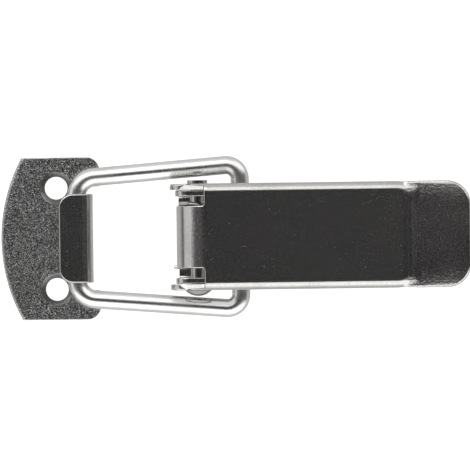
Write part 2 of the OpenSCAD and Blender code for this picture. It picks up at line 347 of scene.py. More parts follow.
@dataclass(frozen=True)
class PlatedFinish:
    """Nickel plate over steel: orange peel, fine grain, hair scratches, thin soiling, worn rims and, for
    some finishes, painted shade in the grain's hollows.
    """

    name: str
    clean: tuple[float, float, float]
    soiled: tuple[float, float, float]
    rough: tuple[float, float]
    peel_mm: float
    peel_depth: float
    grain_mm: float
    grain_depth: float
    wave_depth: float
    scratch_depth: float
    # Share of the painted shade in the grain's hollows, 0 for none
    hollow_shade: float = 0.0
    pits: float = 0.0
    haze: float = 0.05

    def build(self) -> bpy.types.Material:
        """Builds the finish's material.

        Returns:
            The material.
        """
        s = Shader(self.name)
        s.surface.inputs["Metallic"].default_value = 1.0
        cloud = s.noise(WEAR.cloud)
        grain = s.noise(Noise(self.grain_mm, *WEAR.grain_octaves))
        turned = s.placed(WEAR.streaks_stretch, WEAR.streaks_turn)
        hairs = s.remap(s.noise(WEAR.streaks, turned), WEAR.streaks_kept)
        s.link(self.colour(s, cloud, grain), s.surface.inputs["Base Color"])
        s.link(self.roughness(s, cloud, grain, hairs), s.surface.inputs["Roughness"])
        s.link(self.relief(s, grain, hairs), s.surface.inputs["Normal"])
        return s.material

    def colour(
        self, s: Shader, cloud: bpy.types.NodeSocket, grain: bpy.types.NodeSocket
    ) -> bpy.types.NodeSocket:
        """Soils the plate in clouds and spots, but not at its rims, and paints shade into the grain's
        hollows for finishes that have it.

        Args:
            s: The material under construction.
            cloud: The broad clouds.
            grain: The grain's height.

        Returns:
            The colour's socket.
        """
        spots = s.remap(s.noise(WEAR.spots), WEAR.spots_kept)
        soil = s.math("ADD", s.remap(cloud, WEAR.cloud_soil), s.math("MULTIPLY", spots, WEAR.spots_share))
        soil = s.math("MAXIMUM", s.math("SUBTRACT", soil, self.rim(s)), 0.0)
        colour = s.tint(soil, self.clean, self.soiled)
        # Painted shade in the grain's hollows, where the finish has it
        return self.shaded_hollows(s, colour, grain) if self.hollow_shade else colour

    def roughness(
        self,
        s: Shader,
        cloud: bpy.types.NodeSocket,
        grain: bpy.types.NodeSocket,
        hairs: bpy.types.NodeSocket,
    ) -> bpy.types.NodeSocket:
        """Adds haze, hair scratches and dots to the finish's own roughness.

        Args:
            s: The material under construction.
            cloud: The broad clouds.
            grain: The grain's height.
            hairs: The hair scratches' mask.

        Returns:
            The roughness's socket.
        """
        haze = s.math("MULTIPLY", s.remap(grain, WEAR.grain_haze), s.remap(cloud, WEAR.cloud_haze))
        dots = s.remap(s.noise(WEAR.dots), WEAR.dots_kept)
        rough = s.remap(cloud, Span(*WEAR.cloud_rough, *self.rough))
        rough = s.math("ADD", rough, s.math("MULTIPLY", hairs, WEAR.streaks_rough))
        rough = s.math("ADD", rough, s.math("MULTIPLY", haze, self.haze))
        return s.math("ADD", rough, s.math("MULTIPLY", dots, self.pits))

    def relief(
        self, s: Shader, grain: bpy.types.NodeSocket, hairs: bpy.types.NodeSocket
    ) -> bpy.types.NodeSocket:
        """Builds up the long waves, the orange peel, the grain and the scratches.

        Args:
            s: The material under construction.
            grain: The grain's height.
            hairs: The hair scratches' mask.

        Returns:
            The normal's socket.
        """
        normal = s.bump(s.noise(WEAR.wave), self.wave_depth)
        normal = s.bump(s.noise(Noise(self.peel_mm, WEAR.peel_octaves)), self.peel_depth, normal)
        normal = s.bump(grain, self.grain_depth, normal)
        return s.bump(s.math("MULTIPLY", hairs, -1.0), self.scratch_depth, normal)

    def rim(self, s: Shader) -> bpy.types.NodeSocket:
        """Finds the rims, where handling keeps the plate bright.

        Args:
            s: The material under construction.

        Returns:
            A mask's socket, 1 on a rim.
        """
        bevel = s.node("Bevel", samples=WEAR.rim_samples)
        bevel.inputs["Radius"].default_value = WEAR.rim_mm * MM
        dot = s.node("VectorMath", operation="DOT_PRODUCT")
        s.link(bevel.outputs["Normal"], dot.inputs[0])
        s.link(s.node("NewGeometry").outputs["Normal"], dot.inputs[1])
        worn = s.remap(dot.outputs["Value"], WEAR.rim_kept)
        return s.math("MULTIPLY", worn, s.remap(s.noise(WEAR.rim_patches), WEAR.rim_patches_kept))

    def shaded_hollows(
        self, s: Shader, colour: bpy.types.NodeSocket, grain: bpy.types.NodeSocket
    ) -> bpy.types.NodeSocket:
        """Paints the grain's light and shade into the colour: its peaks stay lighter and its hollows are
        darkened as painted shade.

        Args:
            s: The material under construction.
            colour: The colour so far.
            grain: The grain's height.

        Returns:
            The colour's socket.
        """
        made = s.node("Mix", data_type="RGBA", blend_type="MULTIPLY")
        made.inputs[Shader.MIX_SHARE].default_value = self.hollow_shade
        s.link(colour, made.inputs[Shader.MIX_A])
        s.link(s.remap(grain, WEAR.grain_shade), made.inputs[Shader.MIX_B])
        return made.outputs[Shader.MIX_RESULT]


POLISHED = PlatedFinish(
    name="nickel_polished",
    clean=(0.61, 0.60, 0.585),
    soiled=(0.50, 0.49, 0.475),
    rough=(0.11, 0.18),
    peel_mm=0.5,
    peel_depth=0.0014,
    grain_mm=0.24,
    grain_depth=0.0003,
    wave_depth=0.02,
    scratch_depth=0.0004,
    hollow_shade=0.2,
    pits=0.1,
    haze=0.135,
)
STRETCHED = PlatedFinish(
    name="nickel_stretched",
    clean=(0.615, 0.592, 0.58),
    soiled=(0.48, 0.45, 0.44),
    rough=(0.15, 0.22),
    peel_mm=0.34,
    peel_depth=0.022,
    grain_mm=0.22,
    grain_depth=0.006,
    wave_depth=0.03,
    scratch_depth=0.0001,
    hollow_shade=0.5,
    pits=0.06,
)
GRAINED = PlatedFinish(
    name="nickel_grained",
    clean=(0.58, 0.58, 0.57),
    soiled=(0.40, 0.395, 0.38),
    rough=(0.14, 0.2),
    peel_mm=0.235,
    peel_depth=0.074,
    grain_mm=0.16,
    grain_depth=0.03,
    wave_depth=0.02,
    scratch_depth=0.0006,
    hollow_shade=0.76,
)
# The countersinks' cones: the plate's nickel painted darker as painted shade in the recesses, with real
# grain and scratches of its own
COUNTERSINK_SHADE = PlatedFinish(
    name="nickel_countersink_shade",
    clean=(0.36, 0.355, 0.345),
    soiled=(0.24, 0.235, 0.225),
    rough=(0.2, 0.28),
    peel_mm=0.3,
    peel_depth=0.01,
    grain_mm=0.14,
    grain_depth=0.002,
    wave_depth=0.0,
    scratch_depth=0.002,
)
WIRE = PlatedFinish(
    name="nickel_wire",
    clean=(0.82, 0.82, 0.81),
    soiled=(0.68, 0.67, 0.65),
    rough=(0.21, 0.28),
    peel_mm=0.4,
    peel_depth=0.005,
    grain_mm=0.14,
    grain_depth=0.0012,
    wave_depth=0.01,
    scratch_depth=0.0012,
    hollow_shade=0.15,
)
RIVET = PlatedFinish(
    name="nickel_rivet",
    clean=(0.54, 0.535, 0.52),
    soiled=(0.30, 0.29, 0.275),
    rough=(0.1, 0.17),
    peel_mm=0.35,
    peel_depth=0.003,
    grain_mm=0.12,
    grain_depth=0.001,
    wave_depth=0.01,
    scratch_depth=0.001,
)
SPRING = PlatedFinish(
    name="spring_wire",
    clean=(0.66, 0.65, 0.62),
    soiled=(0.42, 0.39, 0.35),
    rough=(0.2, 0.3),
    peel_mm=0.3,
    peel_depth=0.002,
    grain_mm=0.08,
    grain_depth=0.0008,
    wave_depth=0.0,
    scratch_depth=0.001,
)


# ---- Making and finishing meshes ----

# How far large faces outweigh small ones in the shading of their shared edges
FACE_WEIGHT = 80

Test = Callable[[Vector], bool]
Share = Callable[[Vector], float]


def anywhere(middle: Vector) -> bool:
    """Picks every place.

    Args:
        middle: The place, which is not used.

    Returns:
        True.
    """
    return True


def fully(at: Vector) -> float:
    """Gives every place the whole of a fold.

    Args:
        at: The place, which is not used.

    Returns:
        1.
    """
    return 1.0


def verts_of(geometry: Sequence[object]) -> list[bmesh.types.BMVert]:
    """The vertices among some geometry.

    Args:
        geometry: What an operator made.

    Returns:
        Its vertices.
    """
    return [g for g in geometry if isinstance(g, bmesh.types.BMVert)]


def rim_of(geometry: Sequence[object]) -> list[bmesh.types.BMEdge]:
    """The open ring of edges among some geometry.

    Args:
        geometry: What an operator made.

    Returns:
        The ring's edges.
    """
    return [g for g in geometry if isinstance(g, bmesh.types.BMEdge) and len(g.link_faces) == 1]


def bevel(
    bm: bmesh.types.BMesh,
    geometry: Sequence[object],
    offset: float,
    segments: int,
    affect: str = "EDGES",
    slide: bool = False,
) -> None:
    """Rounds or chamfers edges or corners.

    Args:
        bm: The mesh.
        geometry: Its edges or vertices.
        offset: How far the rounding reaches, in millimetres.
        segments: Its steps, where 1 makes a chamfer.
        affect: EDGES or VERTICES.
        slide: Whether its ends slide along the edges that they meet.
    """
    bmesh.ops.bevel(
        bm,
        geom=geometry,
        offset=offset,
        offset_type="OFFSET",
        segments=segments,
        profile=0.5,
        affect=affect,
        material=-1,
        loop_slide=slide,
    )


def close_up(bm: bmesh.types.BMesh) -> None:
    """Joins vertices that touch and turns the faces outwards.

    Args:
        bm: The mesh.
    """
    bmesh.ops.remove_doubles(bm, verts=bm.verts[:], dist=TOUCHING)
    bmesh.ops.recalc_face_normals(bm, faces=bm.faces[:])


def make_piece(
    bm: bmesh.types.BMesh, name: str, finishes: Sequence[PlatedFinish], sharp: float = 32.0
) -> bpy.types.Object:
    """Turns a mesh in millimetres into a finished object in metres, with its place in its mesh.

    Args:
        bm: The mesh, which is freed.
        name: The piece's name.
        finishes: Its finishes, in the order of its faces' material numbers.
        sharp: Angle above which an edge stays sharp, in degrees.

    Returns:
        The object.
    """
    bmesh.ops.dissolve_degenerate(bm, dist=SHORTEST, edges=bm.edges[:])
    bmesh.ops.scale(bm, vec=(MM, MM, MM), verts=bm.verts[:])
    mesh = bpy.data.meshes.new(name)
    bm.to_mesh(mesh)
    bm.free()
    mesh.shade_smooth()
    mesh.set_sharp_from_angle(angle=math.radians(sharp))
    for finish in finishes:
        mesh.materials.append(bpy.data.materials.get(finish.name) or finish.build())
    made = bpy.data.objects.new(name, mesh)
    bpy.context.scene.collection.objects.link(made)
    weighted = made.modifiers.new("even_faces", "WEIGHTED_NORMAL")
    weighted.keep_sharp = True
    weighted.weight = FACE_WEIGHT
    LOG.info("%s: %d vertices, %d faces", name, len(mesh.vertices), len(mesh.polygons))
    return made


@dataclass
class SheetBlank:
    """A flat blank of sheet that is cut, rolled at its rims and folded, in millimetres."""

    thickness: float
    level: float = 0.0
    bm: bmesh.types.BMesh = field(default_factory=bmesh.new)
    flat: dict[int, Vector] = field(default_factory=dict)
    corner_steps: int = 4
    corner_steps_per_mm: float = 6
    hole_steps: int = 56
    straight: float = math.radians(0.3)
    wall_slope: float = 0.2
    face_slope: float = 0.9

    def cut(
        self,
        corners: Sequence[Corner],
        holes: Sequence[Hole] = (),
        bow: Callable[[bmesh.types.BMesh], None] | None = None,
    ) -> None:
        """Cuts the blank's outline and holes and gives it its thickness.

        Args:
            corners: The outline's corners in order.
            holes: Its round holes.
            bow: What curves one of the outline's edges, once the corners are round.
        """
        bm = self.bm
        ring = [bm.verts.new((c.x, c.y, self.level)) for c in corners]
        bm.faces.new(ring)
        count = len(corners)
        lengths = []
        for i, c in enumerate(corners):
            a = Vector((corners[i - 1].x - c.x, corners[i - 1].y - c.y))
            b = Vector((corners[(i + 1) % count].x - c.x, corners[(i + 1) % count].y - c.y))
            lengths.append(c.r / math.tan(a.angle(b) / 2) if c.r else 0.0)
        for vert, length, c in zip(ring, lengths, corners):
            if c.r:
                steps = max(self.corner_steps, round(c.r * self.corner_steps_per_mm))
                bevel(bm, [vert], length, steps, "VERTICES")
        if bow:
            bow(bm)
        bmesh.ops.delete(bm, geom=bm.faces[:], context="FACES_ONLY")
        for h in holes:
            place = Matrix.Translation((h.x, h.y, self.level))
            bmesh.ops.create_circle(bm, segments=self.hole_steps, radius=h.d / 2, matrix=place)
        bmesh.ops.triangle_fill(bm, use_beauty=True, edges=bm.edges[:])
        inner = [e for e in bm.edges if len(e.link_faces) == 2]
        bmesh.ops.dissolve_limit(bm, angle_limit=self.straight, verts=[], edges=inner)
        made = bmesh.ops.extrude_face_region(bm, geom=bm.faces[:] + bm.edges[:], use_keep_orig=True)["geom"]
        bmesh.ops.translate(bm, verts=verts_of(made), vec=(0, 0, self.thickness))
        bmesh.ops.recalc_face_normals(bm, faces=bm.faces[:])

    def roll(self, which: Face, radius: float, segments: int = 3, where: Test = anywhere) -> None:
        """Rounds or chamfers the rim of one face.

        Args:
            which: The face whose rim it is.
            radius: How far the rounding reaches.
            segments: Its steps, where 1 makes a chamfer.
            where: Tells the rim's edges by their middles.
        """
        height = self.level + (self.thickness if which is Face.UPPER else 0.0)
        rims = []
        for e in self.bm.edges:
            if len(e.link_faces) != 2 or any(abs(v.co.z - height) > LEVEL for v in e.verts):
                continue
            steep, level = sorted(abs(f.normal.z) for f in e.link_faces)
            middle = (e.verts[0].co + e.verts[1].co) / 2
            if steep < self.wall_slope and level > self.face_slope and where(middle):
                rims.append(e)
        bevel(self.bm, rims, radius, segments, slide=True)

    def slice(self, along: Along, places: Sequence[float], where: Test = anywhere) -> None:
        """Cuts lines across the blank, so that it can bend there.

        Args:
            along: The axis that the places are measured along.
            places: Where the lines are.
            where: Tells the faces to cut by their middles.
        """
        normal = Vector((1, 0, 0)) if along is Along.X else Vector((0, 1, 0))
        for place in places:
            faces = [f for f in self.bm.faces if where(f.calc_center_median())]
            edges = list({e for f in faces for e in f.edges})
            geometry = faces + edges + list({v for e in edges for v in e.verts})
            bmesh.ops.bisect_plane(
                self.bm, geom=geometry, dist=LEVEL, plane_co=normal * place, plane_no=normal
            )

    def settle(self) -> None:
        """Remembers where each vertex lies in the flat, before any fold."""
        self.bm.verts.index_update()
        self.flat = {v.index: v.co.copy() for v in self.bm.verts}

    def fold(
        self,
        along: Along,
        side: int,
        line: float,
        outer: float,
        angle: float,
        way: Way,
        share: Share = fully,
    ) -> None:
        """Folds the sheet beyond a line round a bend.

        Args:
            along: The axis that runs across the fold.
            side: 1 if the sheet beyond the line lies towards +, or -1.
            line: Where the bend starts.
            outer: Outer radius of the bend.
            angle: How far it turns, in radians.
            way: Which way it turns.
            share: What share of the angle applies at a flat position.
        """
        axis = along.value
        mean = outer - self.thickness / 2
        if way is Way.UP:
            centre = self.level + outer
        else:
            centre = self.level + self.thickness - outer
        for v in self.bm.verts:
            flat = self.flat[v.index]
            turn = angle * share(flat)
            past = (flat[axis] - line) * side
            if past <= 0 or turn <= 0:
                continue
            radius = (centre - v.co.z) * way.value
            bent = min(past / mean, turn)
            run = (v.co[axis] - line) * side - mean * turn if past > mean * turn else 0.0
            v.co[axis] = line + side * (radius * math.sin(bent) + run * math.cos(bent))
            v.co.z = centre - way.value * (radius * math.cos(bent) - run * math.sin(bent))


def smooth_share(value: float, low: float, high: float) -> float:
    """Rises smoothly from 0 at low to 1 at high.

    Args:
        value: The value.
        low: Where it leaves 0.
        high: Where it reaches 1.

    Returns:
        The share.
    """
    t = min(max((value - low) / (high - low), 0.0), 1.0)
    return t * t * (3 - 2 * t)


def spread(start: float, end: float, count: int) -> list[float]:
    """Even places from start to end, both included.

    Args:
        start: The first place.
        end: The last place.
        count: The number of steps between them.

    Returns:
        The places.
    """
    return [start + (end - start) * i / count for i in range(count + 1)]


def both_sides(places: Sequence[float]) -> list[float]:
    """Places and the same places mirrored.

    Args:
        places: The places on one side.

    Returns:
        The places on both.
    """
    return [s * place for s in SIDES for place in places]


def mirrored(upper: Sequence[Corner]) -> list[Corner]:
    """A whole outline from its upper half.

    Args:
        upper: The upper half's corners.

    Returns:
        All its corners.
    """
    return [Corner(c.x, -c.y, c.r) for c in reversed(upper)] + list(upper)


# ---- Sub-assemblies ----

# How far past a border a place may lie and still count, in millimetres
SLACK = 0.01
# The slopes that a countersink's faces lie between
SLOPE_LOW = 0.3
SLOPE_HIGH = 0.95


@dataclass
class CatchPlate:
    """The keeper: a plate with one curved edge, two countersunk holes and a hook."""

    left: float = -36.0
    length: float = 15.2
    half: float = 12.5
    edge_r: float = 25.9
    edge_steps: int = 48
    corner_r: float = 2.0
    shoulder_r: float = 0.25
    hook_x: float = -21.83
    hook_half: float = 6.8
    hook_gap: float = 3.0
    bend_r: float = 1.85
    bend_steps: int = 12
    reach: float = 5.14
    tip_r: float = 2.1
    relief: float = 1.2
    relief_end: float = -24.4
    relief_round: float = 0.49
    hole_x: float = -27.48
    hole_y: float = 7.8
    hole_rim: float = 2.3
    sink: float = 0.74
    pressed_rim: float = 0.5
    sheared_rim: float = 0.14
    hook_rim: float = 0.1
    under_rim: float = 0.09
    hook_under_rim: float = 0.22
    inner_from: float = 0.3
    lift: float = 0.05

    @property
    def bend_x(self) -> float:
        """Where the hook's first bend starts.

        Returns:
            Its place along the plate.
        """
        return self.hook_x - self.bend_r

    def build(self) -> bpy.types.Object:
        """Builds the catch plate.

        Returns:
            Its object.
        """
        t = SIZES.catch
        blank = SheetBlank(t)
        start = self.bend_x
        arc = (self.bend_r - t / 2) * QUARTER
        second = start + arc + 2 * t + self.hook_gap - 2 * self.bend_r
        tip = second + arc + self.reach - self.bend_r
        holes = [Hole(self.hole_x, s * self.hole_y, SIZES.screw) for s in SIDES]
        blank.cut(self.outline(tip), holes, self.bow)
        blank.roll(Face.UPPER, self.sink, 1, self.by_hole)
        blank.roll(Face.UPPER, self.sheared_rim, 2, self.sheared)
        blank.roll(Face.UPPER, self.pressed_rim, 5, self.pressed)
        blank.roll(Face.UPPER, self.hook_rim, 2, self.inner)
        blank.roll(Face.LOWER, self.under_rim, 2, lambda m: not self.inner(m))
        blank.roll(Face.LOWER, self.hook_under_rim, 3, self.inner)
        places = spread(start, start + arc, self.bend_steps) + spread(second, second + arc, self.bend_steps)
        blank.slice(Along.X, [start])
        blank.slice(Along.X, places, self.on_tab)
        blank.settle()
        blank.fold(Along.X, 1, second, self.bend_r, QUARTER, Way.UP, self.in_tab)
        blank.fold(Along.X, 1, start, self.bend_r, QUARTER, Way.UP, self.in_tab)
        for f in blank.bm.faces:
            middle = f.calc_center_median()
            # The countersinks' sloping faces take the finish with painted shade in the recess
            if self.by_hole(middle) and SLOPE_LOW < f.normal.z < SLOPE_HIGH:
                f.material_index = 2
            elif middle.z > t + self.lift or self.on_tab(middle):
                f.material_index = 1
        return make_piece(blank.bm, "catch_plate_sheet", [GRAINED, POLISHED, COUNTERSINK_SHADE])

    def by_hole(self, m: Vector) -> bool:
        """Whether a place is at a screw hole's rim.

        Args:
            m: The place.

        Returns:
            True if it is.
        """
        away = min(math.hypot(m.x - self.hole_x, m.y - s * self.hole_y) for s in SIDES)
        return away < self.hole_rim

    def sheared(self, m: Vector) -> bool:
        """Whether a place is on one of the plate's two straight, sheared sides.

        Args:
            m: The place.

        Returns:
            True if it is.
        """
        return abs(m.y) > self.half - SLACK

    def inner(self, m: Vector) -> bool:
        """Whether a flat place is on the hook's tab or on the plate's edge beside it.

        Args:
            m: The place.

        Returns:
            True if it is.
        """
        return m.x >= self.bend_x + self.inner_from

    def pressed(self, m: Vector) -> bool:
        """Whether a place is on one of the plate's pressed rims, which are well rounded.

        Args:
            m: The place.

        Returns:
            True if it is.
        """
        return not (self.by_hole(m) or self.sheared(m) or self.inner(m))

    def on_tab(self, m: Vector) -> bool:
        """Whether a place is on the tab, beyond where it starts to bend.

        Args:
            m: The place.

        Returns:
            True if it is.
        """
        return abs(m.y) < self.hook_half and m.x > self.bend_x

    def in_tab(self, m: Vector) -> bool:
        """Whether a place is within the tab's width, with its edges.

        Args:
            m: The place.

        Returns:
            True if it is.
        """
        return abs(m.y) < self.hook_half + SLACK

    def outline(self, tip: float) -> list[Corner]:
        """The blank's outline with the hook's tab unfolded.

        Args:
            tip: Where the unfolded tab ends.

        Returns:
            Its corners, starting at the curved edge's lower end.
        """
        right = self.left + self.length
        bulge = self.edge_r - math.sqrt(self.edge_r**2 - self.half**2)
        slot = self.hook_half + self.relief
        end = self.relief_end
        upper = [
            Corner(tip, self.hook_half, self.tip_r),
            Corner(end, self.hook_half, self.relief * self.relief_round),
            Corner(end, slot, self.relief * self.relief_round),
            Corner(right, slot, self.shoulder_r),
            Corner(right, self.half, self.corner_r),
            Corner(self.left + bulge, self.half),
        ]
        return mirrored(upper)

    def bow(self, bm: bmesh.types.BMesh) -> None:
        """Curves the blank's left edge.

        Args:
            bm: The blank's mesh.
        """
        edge = min(bm.edges, key=lambda e: e.verts[0].co.x + e.verts[1].co.x)
        made = bmesh.ops.subdivide_edges(bm, edges=[edge], cuts=self.edge_steps - 1)["geom_inner"]
        for v in verts_of(made):
            v.co.x = self.left + self.edge_r - math.sqrt(self.edge_r**2 - v.co.y**2)


@dataclass
class Lever:
    """The handle: a channel with a curled tongue, two front lobes and an upturned tab."""

    bend_r: float = 1.3
    bend_steps: int = 10
    tongue_half: float = 4.78
    tongue_r: float = 4.76
    tongue_x: float = -4.2
    tongue_drop: float = 1.1
    tongue_steps: int = 20
    notch_x: float = -4.7
    tab_x: float = 26.6
    tab_angle: float = math.radians(9)
    tab_bend: float = 3.9
    tab_corner: float = 3.6
    tab_before: float = 2.2
    tab_past: float = 1.9
    tab_steps: int = 20
    wall_fade: tuple[float, float] = (1.9, 0.1)
    crown: float = 0.125
    crown_from: float = 3.8
    crown_width: float = 2.8
    crown_edge: float = 0.45
    crown_steps: int = 8
    crown_fade: tuple[float, float] = (0.3, 3.0)
    dart: float = 0.36
    dart_x: float = 0.1
    dart_r: float = 2.0
    dip: float = 0.03
    dip_r: float = 1.2
    lobe_front: float = -9.9
    lobe_over: float = 3.8
    wall_foot: float = 0.7
    taper_x: float = 10.3
    tail_foot: float = 7.0
    shoulder_x: float = 1.2
    shoulder_r: float = 1.0
    waist: float = 0.08
    waist_x: float = 1.3
    waist_r: float = 0.8
    tail_x: float = 2.8
    tail_r: float = 1.6
    taper_r: float = 6.0
    lobe_foot_r: float = 3.5
    lobe_top_r: float = 2.4
    notch_r: tuple[float, float] = (0.25, 0.3)
    tip_r: float = 0.5
    rivet_hole: float = 2.3
    bail_hole: float = 2.96
    blunt_rim: float = 0.3
    blunt_tab: float = 1.0
    blunt_lobe: tuple[float, float] = (3.0, 0.5)
    rim: float = 0.2
    under_rim: float = 0.07
    stretched: tuple[float, float] = (2.0, 0.4)

    def build(self) -> bpy.types.Object:
        """Builds the lever.

        Returns:
            Its object.
        """
        t = SIZES.sheet
        blank = SheetBlank(t, SIZES.lever_top - t)
        fold_y = SIZES.lever_half - self.bend_r
        arc = (self.bend_r - t / 2) * QUARTER
        holes = []
        for s in SIDES:
            holes.append(Hole(SIZES.pivot_x, s * self.unfolded(SIZES.pivot_z), self.rivet_hole))
            holes.append(Hole(SIZES.bail_x, s * self.unfolded(SIZES.bail_z), self.bail_hole))
        tongue_arc = (self.tongue_r - t / 2) * QUARTER
        blank.cut(self.outline(self.tongue_x - tongue_arc - self.tongue_drop), holes)
        blank.roll(Face.UPPER, self.blunt_rim, 4, self.blunt)
        blank.roll(Face.UPPER, self.rim, 3, lambda m: not self.blunt(m))
        blank.roll(Face.LOWER, self.under_rim, 2)
        blank.slice(Along.Y, both_sides(spread(fold_y, fold_y + arc, self.bend_steps)))
        blank.slice(Along.X, spread(self.tongue_x - tongue_arc, self.tongue_x, self.tongue_steps))
        self.slice_tab(blank)
        blank.settle()
        blank.fold(Along.X, -1, self.tongue_x, self.tongue_r, QUARTER, Way.DOWN, self.in_tongue)
        blank.fold(Along.X, 1, self.tab_x, self.tab_bend, self.tab_angle, Way.UP)
        for s in SIDES:
            blank.fold(Along.Y, s, s * fold_y, self.bend_r, QUARTER, Way.DOWN, self.wall_share)
        self.press(blank, fold_y)
        ahead, behind = self.stretched
        front, back = self.notch_x - ahead, self.tongue_x + behind
        for f in blank.bm.faces:
            middle = f.calc_center_median()
            on_bend = front < middle.x < back and abs(middle.y) < self.tongue_half
            if middle.x > self.tab_x or on_bend:
                f.material_index = 1
        return make_piece(blank.bm, "lever_sheet", [POLISHED, STRETCHED])

    def slice_tab(self, blank: SheetBlank) -> None:
        """Cuts the lines along which the tab bends and is pressed.

        Args:
            blank: The lever's blank.
        """
        before = self.tab_x - self.tab_before
        bend = (self.tab_bend - SIZES.sheet / 2) * self.tab_angle
        blank.slice(Along.X, spread(self.tab_x, self.tab_x + bend, 3))
        blank.slice(Along.X, spread(before, self.tab_x + self.tab_past, self.tab_steps))
        crowned = spread(self.crown_from, SIZES.lever_half - self.crown_edge, self.crown_steps)
        blank.slice(Along.Y, both_sides(crowned), lambda m: m.x > before)

    def blunt(self, m: Vector) -> bool:
        """Whether a flat place is on a well rounded rim: the tab's or the lobes' fronts.

        Args:
            m: The place.

        Returns:
            True if it is.
        """
        ahead, aside = self.blunt_lobe
        on_lobe = m.x < self.notch_x - ahead and abs(m.y) > self.tongue_half + aside
        return m.x > self.tab_x + self.blunt_tab or on_lobe

    def in_tongue(self, at: Vector) -> bool:
        """Whether a place is within the tongue's width.

        Args:
            at: The place.

        Returns:
            True if it is.
        """
        return abs(at.y) < self.tongue_half + SLACK

    def wall_share(self, at: Vector) -> float:
        """What share of its quarter turn a side wall makes, which fades out towards the tab.

        Args:
            at: The flat place.

        Returns:
            The share.
        """
        start, end = self.wall_fade
        return 1.0 - smooth_share(at.x, self.tab_x - start, self.tab_x - end)

    def press(self, blank: SheetBlank, fold_y: float) -> None:
        """Presses the tab's crown, the two darts at its root and the dip across it.

        Args:
            blank: The folded blank.
            fold_y: Where the side walls' bends start.
        """
        near, far = self.crown_fade
        for v in blank.bm.verts:
            flat = blank.flat[v.index]
            aside = max(abs(flat.y) - self.crown_from, 0.0)
            eased = min(aside, self.crown_width)
            drop = self.crown * (eased**2 / (2 * self.crown_width) + aside - eased)
            v.co.z -= drop * smooth_share(flat.x, self.tab_x + near, self.tab_x + far)
            from_edge = SIZES.lever_half - min(abs(flat.y), SIZES.lever_half)
            away = math.hypot(flat.x - self.tab_x - self.dart_x, from_edge)
            v.co.z -= self.dart * (1 - smooth_share(away, 0.0, self.dart_r))
            if abs(flat.y) < fold_y:
                v.co.z -= self.dip * (1 - smooth_share(abs(flat.x - self.tab_x), 0.0, self.dip_r))

    def unfolded(self, z: float) -> float:
        """Where a height on a side wall lies in the flat.

        Args:
            z: The height.

        Returns:
            Its distance from the lever's middle.
        """
        arc = (self.bend_r - SIZES.sheet / 2) * QUARTER
        return SIZES.lever_half - self.bend_r + arc + (SIZES.lever_top - self.bend_r - z)

    def outline(self, tongue_tip: float) -> list[Corner]:
        """The blank's outline with its walls, tongue and tab unfolded.

        Args:
            tongue_tip: Where the unfolded tongue ends.

        Returns:
            Its corners.
        """
        lobe_top = self.unfolded(SIZES.pivot_z + self.lobe_over)
        foot = self.unfolded(self.wall_foot)
        tail = self.unfolded(self.tail_foot)
        bend = (self.tab_bend - SIZES.sheet / 2) * self.tab_angle
        rest = SIZES.end - self.tab_x - self.tab_bend * math.sin(self.tab_angle)
        end = self.tab_x + bend + rest / math.cos(self.tab_angle)
        upper = [
            Corner(end, SIZES.lever_half, self.tab_corner),
            Corner(self.tab_x + self.shoulder_x, SIZES.lever_half, self.shoulder_r),
            Corner(self.tab_x - self.waist_x, SIZES.lever_half - self.waist, self.waist_r),
            Corner(self.tab_x - self.tail_x, tail, self.tail_r),
            Corner(self.taper_x, foot, self.taper_r),
            Corner(self.lobe_front, foot, self.lobe_foot_r),
            Corner(self.lobe_front, lobe_top, self.lobe_top_r),
            Corner(self.notch_x, lobe_top, self.notch_r[0]),
            Corner(self.notch_x, self.tongue_half, self.notch_r[1]),
            Corner(tongue_tip, self.tongue_half, self.tip_r),
        ]
        return mirrored(upper)


